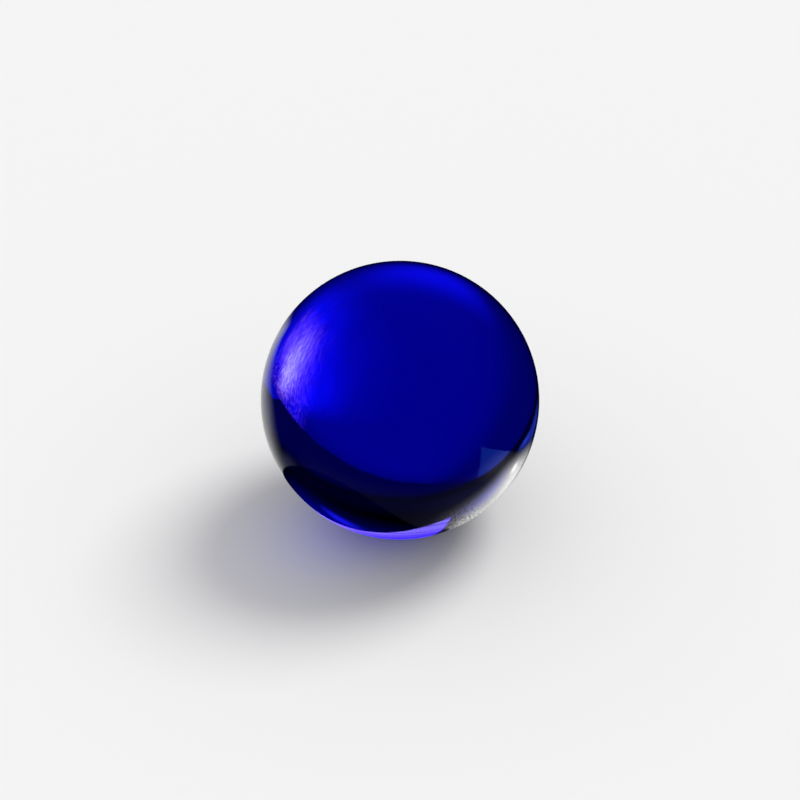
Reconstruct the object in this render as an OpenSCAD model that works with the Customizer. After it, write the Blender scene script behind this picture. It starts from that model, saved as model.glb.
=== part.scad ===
// Glass marble: one solid ball of transparent blue glass.
// A gob of hot glass is rolled round between grooved rollers, so the ball has
// one continuous skin, with no seam, flat, core or hollow.
// Sizes are in millimetres. The origin is the centre of the ball, and +Z is up.

/* [Ball] */
// Diameter of the ball: 16 is the common player size, 25 the common shooter
ball_d = 16; // [12:0.5:50]

/* [Glass] */
// Colour of the glass
glass_colour = "mediumblue"; // [mediumblue, darkgreen, firebrick, goldenrod, gainsboro]
// How solid the glass looks, from nearly clear to opaque
glass_opacity = 0.75; // [0.2:0.05:1]

/* [Display] */
// Facets round the equator of the ball as drawn; the solid itself is a true sphere
round_facets = 144; // [48:12:240]

/* [Hidden] */

// The whole marble, centred on the origin and resting on one point at its lowest
module marble() {
    color(glass_colour, glass_opacity)
        sphere(d = ball_d, $fn = round_facets);
}

marble();
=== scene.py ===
"""A solid ball of deep blue glass on a pale floor, lit by one broad soft lamp and a plain sky.
Around it stand cards and tents that only the glass sees, with painted light and painted shade.

Places and sizes on the stage are counted in ball radii from the middle of the ball, with X to
the right, Y away from the camera and Z up."""

import math

import bpy
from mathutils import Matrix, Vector


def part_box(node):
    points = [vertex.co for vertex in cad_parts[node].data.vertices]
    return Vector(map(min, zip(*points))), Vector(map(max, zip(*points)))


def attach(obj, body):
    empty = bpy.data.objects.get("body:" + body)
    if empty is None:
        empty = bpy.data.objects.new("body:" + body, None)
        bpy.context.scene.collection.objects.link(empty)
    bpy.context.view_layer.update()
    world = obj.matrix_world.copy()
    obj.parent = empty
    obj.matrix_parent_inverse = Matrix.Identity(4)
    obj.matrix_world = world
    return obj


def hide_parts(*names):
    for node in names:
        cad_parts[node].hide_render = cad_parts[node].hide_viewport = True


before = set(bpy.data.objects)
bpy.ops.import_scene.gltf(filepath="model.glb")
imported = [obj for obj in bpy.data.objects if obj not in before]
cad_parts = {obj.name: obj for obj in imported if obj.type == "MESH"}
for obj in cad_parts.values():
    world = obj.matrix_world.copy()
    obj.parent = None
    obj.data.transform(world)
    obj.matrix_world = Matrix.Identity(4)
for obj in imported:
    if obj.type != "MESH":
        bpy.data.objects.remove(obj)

bl_info = {
    "name": "Glass Marble",
    "version": (1, 0, 0),
    "blender": (4, 5, 0),
    "location": "3D View > Sidebar > Marble",
    "description": "Makes a solid blue glass marble and the stage it is looked at on",
    "category": "Object",
}

CAD_LOW, CAD_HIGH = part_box("marble")
BALL_DIAMETER = CAD_HIGH.z - CAD_LOW.z
WHITE = (1.0, 1.0, 1.0)


# ---------------------------------------------------------------- settings


class MarbleBallSettings(bpy.types.PropertyGroup):
    """Size, mesh and glass of the ball."""

    diameter: bpy.props.FloatProperty(
        name="Diameter",
        description="Diameter of the finished ball",
        default=BALL_DIAMETER,
        min=0.005,
        max=0.05,
        precision=5,
        subtype="DISTANCE",
        unit="LENGTH",
    )
    cuts: bpy.props.IntProperty(
        name="Cuts",
        description="Cuts across each face of the block that is rolled into a ball",
        default=100,
        min=20,
        max=100,
    )
    index: bpy.props.FloatProperty(
        name="Refractive index",
        description="How strongly the glass bends light; soda-lime glass is about 1.52",
        default=1.52,
        min=1.3,
        max=1.9,
    )
    tint: bpy.props.FloatVectorProperty(
        name="Tint",
        description="Colour that the glass lets through least weakened",
        default=(0.09, 0.045, 0.85),
        min=0.0,
        max=1.0,
        size=3,
        subtype="COLOR",
    )
    tint_depth: bpy.props.FloatProperty(
        name="Tint depth",
        description="How fast the tint builds up with depth, for each metre of glass",
        default=500.0,
        min=0.0,
        max=5000.0,
    )


class MarbleStageSettings(bpy.types.PropertyGroup):
    """Floor, lamp, sky and camera."""

    floor_colour: bpy.props.FloatVectorProperty(
        name="Floor",
        description="Colour of the pale floor",
        default=(0.93, 0.93, 0.93),
        min=0.0,
        max=1.0,
        size=3,
        subtype="COLOR",
    )
    key_power: bpy.props.FloatProperty(
        name="Key lamp",
        description="Light that the key lamp lays on the floor, where 1 lights white to white",
        default=0.38,
        min=0.0,
        max=2.0,
    )
    sky: bpy.props.FloatProperty(
        name="Sky",
        description="Plain soft light from all round",
        default=0.6,
        min=0.0,
        max=2.0,
    )
    lens: bpy.props.FloatProperty(
        name="Lens",
        description="Focal length of the camera in millimetres",
        default=100.0,
        min=20.0,
        max=300.0,
        unit="CAMERA",
    )
    distance: bpy.props.FloatProperty(
        name="Camera distance",
        description="From the camera to the middle of the ball, in ball radii",
        default=15.98,
        min=4.0,
        max=100.0,
    )
    elevation: bpy.props.FloatProperty(
        name="Camera height",
        description="How far the camera looks down on the ball",
        default=math.radians(35.0),
        min=0.0,
        max=math.radians(89.0),
        subtype="ANGLE",
        unit="ROTATION",
    )


# ---------------------------------------------------------------- helpers


def deselect_all():
    """Leaves nothing selected, so that an operator acts only on what is added next."""
    if bpy.context.mode != "OBJECT":
        bpy.ops.object.mode_set(mode="OBJECT")
    bpy.ops.object.select_all(action="DESELECT")


def settle(piece):
    """Puts the piece's place into its mesh and leaves its object at the origin."""
    deselect_all()
    piece.select_set(True)
    bpy.context.view_layer.objects.active = piece
    bpy.ops.object.transform_apply(location=True, rotation=True, scale=True)


def new_material(name):
    """A node material with nothing in it but its output."""
    material = bpy.data.materials.new(name)
    material.use_nodes = True
    tree = material.node_tree
    tree.nodes.clear()
    output = tree.nodes.new("ShaderNodeOutputMaterial")
    return material, tree, output


# ---------------------------------------------------------------- patterns


class Pattern:
    """Formulas made of nodes in one tree. Each method adds nodes and returns the socket that
    holds their result. Wherever it takes a socket, it takes a plain number or vector too."""

    def __init__(self, tree):
        self.tree = tree

    def feed(self, socket, value):
        """Links a socket to another one, or sets it to a plain number or vector."""
        if isinstance(value, bpy.types.NodeSocket):
            self.tree.links.new(value, socket)
        else:
            socket.default_value = value

    def maths(self, operation, *values):
        """The result of a Math node."""
        node = self.tree.nodes.new("ShaderNodeMath")
        node.operation = operation
        for socket, value in zip(node.inputs, values):
            self.feed(socket, value)
        return node.outputs["Value"]

    def chain(self, operation, values):
        """Values joined one after the other by the same operation."""
        result = values[0]
        for value in values[1:]:
            result = self.maths(operation, result, value)
        return result

    def total(self, *values):
        """Their sum."""
        return self.chain("ADD", values)

    def product(self, *values):
        """All of them multiplied together."""
        return self.chain("MULTIPLY", values)

    def most(self, *values):
        """The greatest of them."""
        return self.chain("MAXIMUM", values)

    def least(self, *values):
        """The smallest of them."""
        return self.chain("MINIMUM", values)

    def rest(self, value):
        """What is left of 1 once the value is taken away."""
        return self.maths("SUBTRACT", 1.0, value)

    def ramp(self, value, start, end, low=0.0, high=1.0):
        """Goes smoothly from low to high while value goes from start to end."""
        node = self.tree.nodes.new("ShaderNodeMapRange")
        node.interpolation_type = "SMOOTHSTEP"
        self.feed(node.inputs["Value"], value)
        self.feed(node.inputs["From Min"], start)
        self.feed(node.inputs["From Max"], end)
        self.feed(node.inputs["To Min"], low)
        self.feed(node.inputs["To Max"], high)
        return node.outputs["Result"]

    def vector_maths(self, operation, *values):
        """The result of a Vector Math node: a number for a length or a dot product, or else
        a vector."""
        node = self.tree.nodes.new("ShaderNodeVectorMath")
        node.operation = operation
        for socket, value in zip(node.inputs, values):
            self.feed(socket, value)
        return node.outputs["Value" if operation in ("LENGTH", "DOT_PRODUCT") else "Vector"]

    def vector_total(self, *vectors):
        """Sum of vectors or colours."""
        result = vectors[0]
        for vector in vectors[1:]:
            result = self.vector_maths("ADD", result, vector)
        return result

    def scaled(self, vector, factor):
        """A vector or colour times a number."""
        node = self.tree.nodes.new("ShaderNodeVectorMath")
        node.operation = "SCALE"
        self.feed(node.inputs[0], vector)
        self.feed(node.inputs["Scale"], factor)
        return node.outputs["Vector"]

    def parts(self, vector):
        """The X, Y and Z of a vector."""
        node = self.tree.nodes.new("ShaderNodeSeparateXYZ")
        self.feed(node.inputs["Vector"], vector)
        return node.outputs["X"], node.outputs["Y"], node.outputs["Z"]

    def object_place(self):
        """Where a point lies on the piece that wears the material, in metres."""
        return self.tree.nodes.new("ShaderNodeTexCoord").outputs["Object"]

    def place_in(self, unit):
        """Where a point lies on the piece, counted in a unit that is so many metres long."""
        return self.vector_maths("MULTIPLY", self.object_place(), (1 / unit,) * 3)

    def laid_out(self, place, centre, turn, size):
        """Place as it is counted on a pattern that lies at centre, turned and sized."""
        node = self.tree.nodes.new("ShaderNodeMapping")
        node.vector_type = "TEXTURE"
        self.feed(node.inputs["Vector"], place)
        self.feed(node.inputs["Location"], centre)
        self.feed(node.inputs["Rotation"], turn)
        self.feed(node.inputs["Scale"], size)
        return node.outputs["Vector"]

    def noise(self, place, scale=1.0, detail=1.0):
        """Soft noise, about 0.5 all over."""
        node = self.tree.nodes.new("ShaderNodeTexNoise")
        self.feed(node.inputs["Vector"], place)
        node.inputs["Scale"].default_value = scale
        node.inputs["Detail"].default_value = detail
        return node.outputs["Fac"]

    def mask(self, group_name, **values):
        """The mask that a shared node group gives for these values."""
        node = self.tree.nodes.new("ShaderNodeGroup")
        node.node_tree = bpy.data.node_groups[group_name]
        for name, value in values.items():
            self.feed(node.inputs[name], value)
        return node.outputs["Mask"]


def new_group(name, **inputs):
    """A shared node group that puts out a mask; inputs gives each input's name and kind."""
    group = bpy.data.node_groups.new(name, "ShaderNodeTree")
    for label, kind in inputs.items():
        group.interface.new_socket(name=label, in_out="INPUT", socket_type="NodeSocket" + kind)
    group.interface.new_socket(name="Mask", in_out="OUTPUT", socket_type="NodeSocketFloat")
    given = group.nodes.new("NodeGroupInput").outputs
    mask = group.nodes.new("NodeGroupOutput").inputs["Mask"]
    return Pattern(group), given, mask


def make_edge_group():
    """A straight soft edge: 0 before it and 1 past it. Across points over it and is 1 long,
    and Softness is how wide the fade is."""
    pattern, given, mask = new_group(
        "soft_edge", Place="Vector", Across="Vector", Offset="Float", Softness="Float"
    )
    reach = pattern.vector_maths("DOT_PRODUCT", given["Place"], given["Across"])
    half_fade = pattern.product(given["Softness"], 0.5)
    start = pattern.maths("SUBTRACT", given["Offset"], half_fade)
    end = pattern.total(given["Offset"], half_fade)
    pattern.feed(mask, pattern.ramp(reach, start, end))


def make_pool_group():
    """A soft oval: 1 inside its core, falling to 0 at its edge. Size is its half widths, and
    Core is how much of them the core takes."""
    pattern, given, mask = new_group(
        "soft_pool", Place="Vector", Centre="Vector", Turn="Vector", Size="Vector", Core="Float"
    )
    place = pattern.laid_out(given["Place"], given["Centre"], given["Turn"], given["Size"])
    pattern.feed(mask, pattern.ramp(pattern.vector_maths("LENGTH", place), 1.0, given["Core"]))


# ---------------------------------------------------------------- glass

# Sizes of the marks on the skin, in metres
SMUDGE_SIZE = 0.0015
RIPPLE_SIZE = 0.0003
RIPPLE_HEIGHT = 0.0000015
# Roughness where the polish is whole, and in the middle of a smudge
POLISHED = 0.004
SMUDGED = 0.012


def make_glass(settings):
    """Clear fire-polished glass, tinted through its whole depth, with a trace of handling on
    its skin: faint smudges that dull the polish and ripples too low to feel."""
    material, tree, output = new_material("blue_glass")
    pattern = Pattern(tree)
    shader = tree.nodes.new("ShaderNodeBsdfPrincipled")
    shader.inputs["Base Color"].default_value = (*WHITE, 1.0)
    shader.inputs["Metallic"].default_value = 0.0
    shader.inputs["IOR"].default_value = settings.index
    shader.inputs["Transmission Weight"].default_value = 1.0
    tree.links.new(shader.outputs["BSDF"], output.inputs["Surface"])

    skin = pattern.object_place()
    smudges = pattern.noise(skin, scale=1 / SMUDGE_SIZE, detail=4.0)
    roughness = pattern.ramp(smudges, 0.45, 0.75, low=POLISHED, high=SMUDGED)
    pattern.feed(shader.inputs["Roughness"], roughness)
    ripples = tree.nodes.new("ShaderNodeBump")
    ripples.inputs["Strength"].default_value = 1.0
    ripples.inputs["Distance"].default_value = RIPPLE_HEIGHT
    height = pattern.noise(skin, scale=1 / RIPPLE_SIZE, detail=2.0)
    pattern.feed(ripples.inputs["Height"], height)
    tree.links.new(ripples.outputs["Normal"], shader.inputs["Normal"])

    depth = tree.nodes.new("ShaderNodeVolumeAbsorption")
    depth.inputs["Color"].default_value = (*settings.tint, 1.0)
    depth.inputs["Density"].default_value = settings.tint_depth
    tree.links.new(depth.outputs["Volume"], output.inputs["Volume"])
    return material


def make_ball(settings):
    """A block of glass cut into fine squares and rolled round."""
    deselect_all()
    bpy.ops.mesh.primitive_cube_add(size=settings.diameter, location=(0.0, 0.0, 0.0))
    ball = bpy.context.active_object
    ball.name = "marble_ball"
    ball.data.name = "marble_ball"
    bpy.ops.object.mode_set(mode="EDIT")
    bpy.ops.mesh.select_all(action="SELECT")
    bpy.ops.mesh.subdivide(number_cuts=settings.cuts)
    bpy.ops.transform.tosphere(value=1.0)
    bpy.ops.object.mode_set(mode="OBJECT")
    # rolling leaves the ball a little off its size, so it is then scaled to its own radius
    radius = settings.diameter / 2
    rolled = sum(v.co.length for v in ball.data.vertices) / len(ball.data.vertices)
    ball.scale = (radius / rolled,) * 3
    settle(ball)
    bpy.ops.object.shade_smooth()
    ball.data.materials.clear()
    ball.data.materials.append(make_glass(settings))
    return ball


# ---------------------------------------------------------------- floor and tents

FLOOR_REACH = 150.0
TENT_REACH = 80.0


def make_floor(settings, radius):
    """A wide round floor that touches the ball at its lowest point."""
    material, tree, output = new_material("pale_floor")
    shader = tree.nodes.new("ShaderNodeBsdfDiffuse")
    shader.inputs["Color"].default_value = (*settings.floor_colour, 1.0)
    tree.links.new(shader.outputs["BSDF"], output.inputs["Surface"])
    deselect_all()
    bpy.ops.mesh.primitive_circle_add(
        vertices=128,
        radius=FLOOR_REACH * radius,
        fill_type="NGON",
        location=(0.0, 0.0, -radius),
    )
    floor = bpy.context.active_object
    floor.name = "floor"
    settle(floor)
    floor.data.materials.append(material)


def hide_card(card, mirrored):
    """Hides a card or tent from the eye and keeps its light and shadow off the floor. Only
    the glass sees it: mirrored in its skin, or else through the ball."""
    card.visible_camera = False
    card.visible_diffuse = False
    card.visible_shadow = False
    card.visible_volume_scatter = False
    card.visible_glossy = mirrored
    card.visible_transmission = not mirrored


def paint(pattern, output, cover, colour):
    """A skin that glows with the colour where cover is 1 and is clear where it is 0."""
    nodes = pattern.tree.nodes
    links = pattern.tree.links
    clear = nodes.new("ShaderNodeBsdfTransparent")
    glow = nodes.new("ShaderNodeEmission")
    pattern.feed(glow.inputs["Color"], colour)
    mix = nodes.new("ShaderNodeMixShader")
    pattern.feed(mix.inputs["Fac"], cover)
    links.new(clear.outputs["BSDF"], mix.inputs[1])
    links.new(glow.outputs["Emission"], mix.inputs[2])
    links.new(mix.outputs["Shader"], output.inputs["Surface"])


def make_dome(name, radius):
    """A tent: half a ball that stands on the floor."""
    deselect_all()
    bpy.ops.mesh.primitive_uv_sphere_add(segments=64, ring_count=32, radius=TENT_REACH * radius)
    dome = bpy.context.active_object
    dome.name = name
    bpy.ops.object.mode_set(mode="EDIT")
    bpy.ops.mesh.select_all(action="SELECT")
    bpy.ops.mesh.bisect(plane_co=(0.0, 0.0, -radius), plane_no=(0.0, 0.0, 1.0), clear_inner=True)
    bpy.ops.object.mode_set(mode="OBJECT")
    settle(dome)
    return dome


def make_black_tent(radius):
    """Keeps the white backdrop out of what the skin mirrors above the floor. It is a black sheet
    that only the skin mirrors, which paints darkness into its reflections.
    """
    tent = make_dome("black_tent", radius)
    material, tree, output = new_material("black_cloth")
    glow = tree.nodes.new("ShaderNodeEmission")
    glow.inputs["Strength"].default_value = 0.0
    tree.links.new(glow.outputs["Emission"], output.inputs["Surface"])
    tent.data.materials.append(material)
    hide_card(tent, mirrored=True)


def make_half_black_tent(radius):
    """Keeps the white backdrop out of what is seen through the ball, and glows with painted light,
    though it is no lamp. Behind the ball it is black but for a trace of painted light at its
    foot, and before the ball its painted glow fades upwards from pale to black."""
    tent = make_dome("half_black_tent", radius)
    material, tree, output = new_material("half_black_glow")
    pattern = Pattern(tree)
    _, y, z = pattern.parts(pattern.place_in(TENT_REACH * radius))
    behind = pattern.ramp(y, -0.6, 0.1)
    foot_light = pattern.product(behind, pattern.ramp(z, -0.03, 0.2, low=0.04, high=0.0))
    # painted light: a pale glow before the ball that fades upwards
    pale = pattern.product(pattern.rest(behind), pattern.ramp(z, 0.0, 0.75, low=0.9, high=0.0))
    paint(pattern, output, 1.0, pattern.scaled(WHITE, pattern.total(foot_light, pale)))
    tent.data.materials.append(material)
    hide_card(tent, mirrored=False)


# ---------------------------------------------------------------- painted cards

CARD_REACH = 90.0
CARD_HOLE = 0.2
# Heights of the cards over the floor
BACK_CARD_HEIGHT = 0.012
MIRROR_CARD_HEIGHT = 0.01
# How wide the fade of a straight edge is
CRISP = 0.03
CLEAN = 0.05
SOFT = 0.08

# Colours of the painted light on the back card, where 1 is white. The blue glass lets little red
# and green through, so the hot light has much of both.
# the painted light of the open floor behind the ball
LIT_FLOOR_GLOW_COLOUR = (0.4, 0.5, 1.0)
HOT_RED = (1.0, 0.0, 0.01)
HOT_GREEN = (0.0, 1.0, 0.0)

# Colours of the painted light, painted shade and painted caustics on the mirror card
SKIRT_COLOUR = (0.7, 0.7, 1.6)
CAUSTIC_SPOT_COLOUR = (0.03, 0.03, 3.0)
CAUSTIC_HAZE_COLOUR = (0.0, 0.0, 0.55)
GATHERED_COLOUR = (0.0, 0.0, 1.85)
RING_COLOUR = (1.4, 0.65, 4.3)
RING_PEAK_COLOUR = (0.0, 0.45, 0.0)
FRINGE_COLOUR = (0.0, 0.0, 1.5)
CORNER_COLOUR = (0.05, 0.21, 1.27)
SIDE_COLOUR = (0.03, 0.07, 0.9)


class CardPattern(Pattern):
    """What is painted on a card that lies flat. A heading is in degrees and turns from +Y
    towards +X."""

    def __init__(self, tree, radius):
        super().__init__(tree)
        self.place = self.place_in(radius)
        self.flat = self.vector_maths("MULTIPLY", self.place, (1.0, 1.0, 0.0))
        self.x, self.y, _ = self.parts(self.place)
        self.away = self.vector_maths("LENGTH", self.flat)

    def past(self, heading, offset, soft):
        """0 before a straight edge and 1 past it; heading is the way across it, and offset
        is how far along that heading it lies."""
        across = (math.sin(math.radians(heading)), math.cos(math.radians(heading)), 0.0)
        return self.mask("soft_edge", Place=self.flat, Across=across, Offset=offset, Softness=soft)

    def before(self, heading, offset, soft):
        """1 before a straight edge and 0 past it."""
        return self.rest(self.past(heading, offset, soft))

    def pool(self, centre, size, turn=0.0, core=0.0):
        """A soft oval pool: 1 inside its core, falling to 0 at its edge. Size is its two half
        widths, and turn is in degrees, from +X towards +Y."""
        return self.mask(
            "soft_pool",
            Place=self.flat,
            Centre=(*centre, 0.0),
            Turn=(0.0, 0.0, math.radians(turn)),
            Size=(*size, 1.0),
            Core=core,
        )

    def fine_grain(self, size, turn):
        """Sandy grain, about 0.5 all over; size is its two widths and turn is in degrees."""
        turn = (0.0, 0.0, math.radians(turn))
        return self.noise(self.laid_out(self.flat, (0.0,) * 3, turn, (*size, 1.0)), detail=4.0)


def make_floor_card(name, radius, height):
    """A round card just over the floor, with a hole for the ball to stand in."""
    deselect_all()
    bpy.ops.mesh.primitive_circle_add(vertices=96, radius=CARD_REACH * radius, fill_type="NGON")
    card = bpy.context.active_object
    card.name = name
    bpy.ops.object.mode_set(mode="EDIT")
    bpy.ops.mesh.select_all(action="SELECT")
    bpy.ops.mesh.inset(thickness=(CARD_REACH - CARD_HOLE) * radius)
    bpy.ops.mesh.delete(type="FACE")
    bpy.ops.object.mode_set(mode="OBJECT")
    card.location.z = (height - 1.0) * radius
    settle(card)
    return card


def dark_part(card):
    """1 where the back card is dark, as painted shade: past its cut edges, far away and far to the
    left.
    """
    corner = card.product(
        card.past(heading=45.0, offset=1.385, soft=CRISP),
        card.past(heading=0.0, offset=1.4, soft=CRISP),
    )
    front = card.most(card.past(heading=28.0, offset=1.61, soft=CRISP), corner)
    cut = card.least(front, card.past(heading=57.5, offset=1.11, soft=CLEAN))
    far = card.most(card.ramp(card.away, 4.2, 4.6), card.ramp(card.x, -1.5, -2.0))
    return card.most(cut, far)


def hot_window(card, open_part):
    """The window near the ball that the hot light is seen in, between four straight edges."""
    return card.product(
        open_part,
        card.before(heading=-115.0, offset=-0.64, soft=SOFT),
        card.before(heading=-47.0, offset=0.81, soft=0.1),
        card.before(heading=164.0, offset=-0.87, soft=SOFT),
        card.before(heading=57.0, offset=1.26, soft=CLEAN),
    )


def painted_floor_light(card, open_part, window):
    """The painted light on the open floor behind the ball: lit and cloudy on the right, dim on the
    left, with a pale painted spot of light near the ball."""
    lit = card.product(
        card.past(heading=78.0, offset=0.345, soft=0.16),
        card.before(heading=-14.0, offset=1.36, soft=0.11),
        card.ramp(card.y, 0.78, 1.1, low=0.05, high=1.0),
    )
    clouds = card.ramp(card.noise(card.place, scale=16.0, detail=3.0), 0.3, 0.7, 0.82, 1.18)
    near_spot = card.product(
        card.ramp(card.y, 1.17, 0.9),
        card.ramp(card.y, 0.62, 0.88),
        card.ramp(card.x, -0.3, -0.1),
        card.ramp(card.x, 0.16, -0.08),
    )
    level = card.total(
        0.4,
        card.ramp(card.x, -0.45, 0.02, low=0.0, high=0.5),
        card.product(card.most(lit, window), clouds, 2.15),
        card.product(near_spot, 1.7),
    )
    to_the_right = card.past(heading=54.0, offset=1.14, soft=0.5)
    return card.product(
        level,
        card.ramp(to_the_right, 0.0, 1.0, low=1.0, high=0.5),
        card.ramp(card.y, 0.45, 0.85, low=0.35, high=1.0),
        open_part,
    )


def last_light(card, dark):
    """A trace of light in the dark part, weaker with the distance and towards the left."""
    return card.product(
        dark,
        card.ramp(card.away, 1.9, 6.0, low=0.18, high=0.03),
        card.ramp(card.x, -1.9, -0.9, low=0.5, high=1.0),
    )


def hot_streaks(card):
    """Fine slanting streaks in the painted hot light. They lie close to the ball, where the glass
    squeezes what is beside it, so they run over the logarithm of x, which the glass spreads
    evenly again."""
    squeezed = card.maths("LOGARITHM", card.most(card.x, 0.02), math.e)
    along = card.total(card.y, card.product(card.x, 0.5))
    bend = card.least(card.total(along, -1.6), 0.0)
    place = card.vector_total(
        card.scaled((26.0, 0.0, 0.0), squeezed),
        card.scaled((-36.0, -24.0, 0.0), along),
        card.scaled((100.0, 0.0, 0.0), card.product(bend, bend)),
    )
    return card.ramp(card.noise(place, detail=2.0), 0.36, 0.66)


def hot_light(card, window):
    """The painted hot light in its window: a glow, a hot middle and a low tail, all of it streaky.
    """
    streaks = hot_streaks(card)
    pools = card.total(
        card.product(card.pool(centre=(0.3, 1.21), size=(0.28, 0.21), turn=-65.0), 55.0),
        card.product(card.pool(centre=(0.36, 1.275), size=(0.3, 0.145), turn=20.0), 135.0),
        card.product(card.pool(centre=(0.27, 0.95), size=(0.09, 0.06)), 22.0),
    )
    streaky = card.product(pools, card.ramp(streaks, 0.0, 1.0, low=0.72, high=1.32))
    return card.product(card.total(streaky, card.product(streaks, streaks, 28.0)), window)


def make_back_card(radius):
    """A glowing card in place of the floor behind the ball as it is seen through the glass,
    painted with light and shade; it is no lamp.
    """
    back_card = make_floor_card("back_card", radius, BACK_CARD_HEIGHT)
    material, tree, output = new_material("back_card")
    card = CardPattern(tree, radius)
    dark = dark_part(card)
    open_part = card.rest(dark)
    window = hot_window(card, open_part)
    level = card.total(painted_floor_light(card, open_part, window), last_light(card, dark))
    hot = hot_light(card, window)
    # through the blue glass, the hot light looks violet where it is weak, because it has
    # little green there, and white where it is strong
    hot_green = card.product(hot, card.ramp(hot, -90.0, 200.0, low=0.1, high=1.1))
    colour = card.vector_total(
        card.scaled(LIT_FLOOR_GLOW_COLOUR, level),
        card.scaled(HOT_RED, hot),
        card.scaled(HOT_GREEN, hot_green),
    )
    # the card starts just behind the ball, and its soft edge widens with the distance
    beyond = card.most(card.away, 1.0)
    edge_start = card.total(card.product(beyond, -0.6), 0.5)
    edge_end = card.total(card.product(beyond, 0.1), 0.3)
    paint(card, output, card.ramp(card.y, edge_start, edge_end), colour)
    back_card.data.materials.append(material)
    hide_card(back_card, mirrored=False)


def floor_grain(card):
    """Fine sandy grain of the floor in the painted reflected light, plain to see near the ball and
    fading towards the right.
    """
    grain = card.fine_grain(size=(0.023, 0.06), turn=22.0)
    low = card.ramp(card.x, 0.6, 1.2, low=0.6, high=0.95)
    high = card.ramp(card.x, 0.6, 1.2, low=1.4, high=1.05)
    return card.ramp(grain, 0.38, 0.62, low, high)


def left_light(card, past_shadow):
    """Painted light on the dim floor to the left of the ball, as the skin mirrors it."""
    return card.product(
        card.before(heading=253.0, offset=2.4, soft=2.1),
        card.ramp(card.x, -0.1, -1.0),
        card.before(heading=49.0, offset=1.0, soft=0.7),
        card.before(heading=207.0, offset=0.55, soft=0.9),
        past_shadow,
        0.75,
    )


def gathered_ring(card, gathered):
    """The outer part of the painted gathered light, which is brighter and rippled."""
    ripples = card.noise(card.vector_total(card.scaled((45.0, 0.0, 0.0), card.away), card.place))
    outwards = card.total(card.away, card.product(card.x, -0.12))
    return card.product(
        gathered,
        card.ramp(outwards, 0.46, 0.91, low=0.08, high=1.0),
        card.ramp(ripples, 0.35, 0.65, low=0.75, high=1.25),
    )


def right_light(card, gathered, grain):
    """Painted light on the bright grainy floor to the right, outside the gathered light and its
    dark foot of painted shade.
    """
    dark_foot = card.pool(centre=(0.32, -0.45), size=(0.11, 0.12), core=0.5)
    return card.product(
        card.total(
            card.product(card.pool(centre=(1.36, -0.03), size=(1.41, 0.68), turn=39.0), 3.0),
            card.product(card.pool(centre=(1.43, -0.03), size=(0.2, 0.16), turn=39.0), 2.6),
            card.product(card.pool(centre=(0.62, -0.42), size=(0.35, 0.3)), 0.45),
            card.product(card.pool(centre=(1.4, 0.52), size=(0.4, 0.28)), 0.4),
        ),
        card.before(heading=60.0, offset=1.38, soft=0.65),
        card.rest(gathered),
        card.rest(dark_foot),
        grain,
    )


def skirt_light(card, past_shadow):
    """A trace of painted light on the floor before the ball and to its left."""
    return card.product(
        card.total(
            card.product(card.pool(centre=(1.2, -0.9), size=(1.3, 0.9), turn=20.0), 0.1),
            card.product(card.pool(centre=(-1.65, -0.25), size=(0.5, 0.4)), 0.16),
            card.product(card.pool(centre=(-0.5, -1.2), size=(2.2, 1.2), core=0.4), 0.05),
        ),
        past_shadow,
    )


def make_mirror_card(radius):
    """A glowing card in place of the floor round the ball as its skin mirrors it, a painted
    reflection: black, with painted pools of light and the dark oval of the ball's own shadow
    painted in, in which the light it gathers falls as painted blue."""
    mirror_card = make_floor_card("mirror_card", radius, MIRROR_CARD_HEIGHT)
    material, tree, output = new_material("mirror_card")
    card = CardPattern(tree, radius)
    # painted shadow: the dark oval of the ball's own shadow on the floor
    shadow = card.pool(centre=(-0.74, -0.59), size=(1.17, 0.89), turn=39.0, core=0.95)
    past_shadow = card.rest(shadow)
    grain = floor_grain(card)
    # painted caustic: the disc of light that the ball gathers, cut by a straight edge
    gathered = card.product(
        card.pool(centre=(0.35, 0.25), size=(1.06, 1.06), core=0.97),
        card.before(heading=52.0, offset=-0.04, soft=0.04),
    )
    ring = gathered_ring(card, gathered)
    # painted caustic: a blue spot where the ball focuses the lamp, in a blue haze of light
    spot = card.pool(centre=(-0.58, -0.56), size=(0.34, 0.14), turn=-12.0)
    caustic_haze = card.pool(centre=(-0.5, -0.4), size=(1.0, 0.65), turn=-15.0)
    # painted reflected light: a grainy blue fringe, a grey pool, a blue corner and a blue glow at
    # the side
    fringe = card.product(card.pool(centre=(1.08, -0.52), size=(0.7, 0.27), turn=24.0), grain)
    near_part = card.before(heading=52.0, offset=1.5, soft=CLEAN)
    grey = card.product(card.pool(centre=(1.95, -0.75), size=(0.8, 0.75)), near_part, 0.27)
    corner = card.product(
        near_part,
        card.before(heading=-50.0, offset=-1.9, soft=CLEAN),
        card.before(heading=206.0, offset=0.41, soft=0.1),
    )
    side = card.total(
        card.pool(centre=(1.75, 0.75), size=(0.35, 0.8), core=0.2),
        card.product(card.pool(centre=(1.9, 0.3), size=(0.17, 0.42)), 2.6),
    )
    white = card.total(left_light(card, past_shadow), right_light(card, gathered, grain), grey)
    colour = card.vector_total(
        card.scaled(WHITE, white),
        card.scaled(SKIRT_COLOUR, skirt_light(card, past_shadow)),
        card.scaled(CAUSTIC_SPOT_COLOUR, spot),
        card.scaled(CAUSTIC_HAZE_COLOUR, caustic_haze),
        card.scaled(GATHERED_COLOUR, gathered),
        card.scaled(RING_COLOUR, ring),
        card.scaled(RING_PEAK_COLOUR, card.product(ring, ring)),
        card.scaled(FRINGE_COLOUR, fringe),
        card.scaled(CORNER_COLOUR, corner),
        card.scaled(SIDE_COLOUR, side),
    )
    paint(card, output, 1.0, colour)
    mirror_card.data.materials.append(material)
    hide_card(mirror_card, mirrored=True)


# ---------------------------------------------------------------- lamp, backdrop and camera

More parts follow.
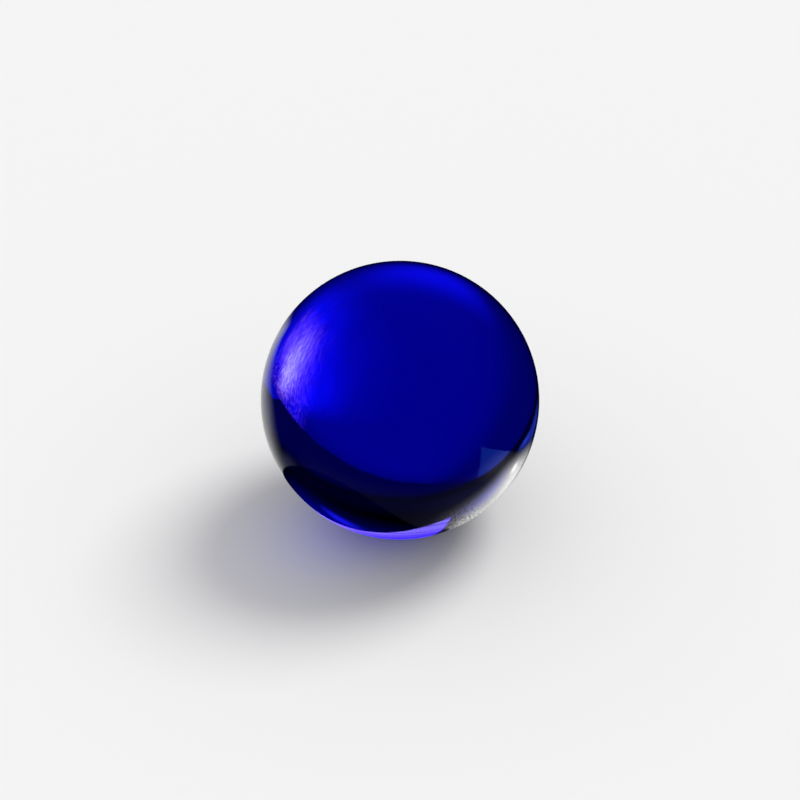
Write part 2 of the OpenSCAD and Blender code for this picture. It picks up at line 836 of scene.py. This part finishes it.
# The key lamp, in degrees: how wide it looks from the ball, and where it stands
KEY_WIDTH = 30.0
KEY_AZIMUTH = 57.0
KEY_ELEVATION = 54.0

SENSOR_WIDTH_MM = 36.0
# The camera sees what is between these distances from it
SIGHT_START = 0.1
SIGHT_END = 1000.0


def direction(azimuth, elevation):
    """Unit vector; azimuth turns from +Y towards +X, elevation rises from the floor."""
    flat = math.cos(elevation)
    return Vector((math.sin(azimuth) * flat, math.cos(azimuth) * flat, math.sin(elevation)))


def aim(thing, place):
    """Puts a lamp or camera at place, looking at the middle of the ball."""
    thing.location = place
    thing.rotation_euler = (-place).to_track_quat("-Z", "Y").to_euler()


def make_key(settings):
    """The key lamp: a broad soft lamp far off, above and behind the ball, to the right."""
    lamp = bpy.data.lights.new("key_lamp", "SUN")
    lamp.angle = math.radians(KEY_WIDTH)
    towards_lamp = direction(math.radians(KEY_AZIMUTH), math.radians(KEY_ELEVATION))
    # a lamp of this power lights the floor to key_power, as seen on pure white
    lamp.energy = settings.key_power * math.pi / towards_lamp.z
    key = bpy.data.objects.new("key_lamp", lamp)
    bpy.context.scene.collection.objects.link(key)
    aim(key, towards_lamp)
    key.visible_camera = False
    key.visible_glossy = False


def make_world(settings):
    """A backdrop that is white to the eye and in the glass, and plain soft light on
    everything else."""
    world = bpy.data.worlds.new("backdrop")
    bpy.context.scene.world = world
    world.use_nodes = True
    tree = world.node_tree
    tree.nodes.clear()
    pattern = Pattern(tree)
    output = tree.nodes.new("ShaderNodeOutputWorld")
    ray = tree.nodes.new("ShaderNodeLightPath").outputs
    seen = pattern.most(ray["Is Camera Ray"], ray["Is Glossy Ray"], ray["Is Transmission Ray"])
    backdrop = tree.nodes.new("ShaderNodeBackground")
    backdrop.inputs["Color"].default_value = (*WHITE, 1.0)
    strength = pattern.ramp(seen, 0.0, 1.0, low=settings.sky, high=1.0)
    pattern.feed(backdrop.inputs["Strength"], strength)
    tree.links.new(backdrop.outputs["Background"], output.inputs["Surface"])


def make_camera(settings, radius):
    """The camera looks along +Y and down on the ball."""
    lens = bpy.data.cameras.new("camera")
    lens.lens = settings.lens
    lens.sensor_width = SENSOR_WIDTH_MM
    lens.clip_start = SIGHT_START * radius
    lens.clip_end = SIGHT_END * radius
    camera = bpy.data.objects.new("camera", lens)
    bpy.context.scene.collection.objects.link(camera)
    aim(camera, direction(math.pi, settings.elevation) * settings.distance * radius)
    bpy.context.scene.camera = camera


# ---------------------------------------------------------------- operators


class MARBLE_OT_make_ball(bpy.types.Operator):
    """Make the glass ball in place of the drawn one"""

    bl_idname = "marble.make_ball"
    bl_label = "Make Ball"

    def execute(self, context):
        ball = make_ball(context.scene.marble_ball)
        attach(ball, "root")
        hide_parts("marble")
        return {"FINISHED"}


class MARBLE_OT_make_stage(bpy.types.Operator):
    """Make the floor, tents, cards, lamp, backdrop and camera"""

    bl_idname = "marble.make_stage"
    bl_label = "Make Stage"

    def execute(self, context):
        settings = context.scene.marble_stage
        radius = context.scene.marble_ball.diameter / 2
        make_floor(settings, radius)
        make_black_tent(radius)
        make_half_black_tent(radius)
        make_edge_group()
        make_pool_group()
        make_back_card(radius)
        make_mirror_card(radius)
        make_key(settings)
        make_world(settings)
        make_camera(settings, radius)
        context.scene.view_settings.view_transform = "Standard"
        return {"FINISHED"}


class MARBLE_PT_panel(bpy.types.Panel):
    """Lists the settings and the operators"""

    bl_idname = "MARBLE_PT_panel"
    bl_label = "Glass Marble"
    bl_space_type = "VIEW_3D"
    bl_region_type = "UI"
    bl_category = "Marble"

    def draw(self, context):
        for settings in (context.scene.marble_ball, context.scene.marble_stage):
            box = self.layout.box()
            for name in settings.__annotations__:
                box.prop(settings, name)
        self.layout.operator("marble.make_ball")
        self.layout.operator("marble.make_stage")


CLASSES = (
    MarbleBallSettings,
    MarbleStageSettings,
    MARBLE_OT_make_ball,
    MARBLE_OT_make_stage,
    MARBLE_PT_panel,
)


def register():
    for cls in CLASSES:
        bpy.utils.register_class(cls)
    bpy.types.Scene.marble_ball = bpy.props.PointerProperty(type=MarbleBallSettings)
    bpy.types.Scene.marble_stage = bpy.props.PointerProperty(type=MarbleStageSettings)


def unregister():
    del bpy.types.Scene.marble_stage
    del bpy.types.Scene.marble_ball
    for cls in reversed(CLASSES):
        bpy.utils.unregister_class(cls)


def main():
    register()
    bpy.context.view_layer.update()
    bpy.ops.marble.make_ball()
    bpy.ops.marble.make_stage()


if __name__ == "__main__":
    main()
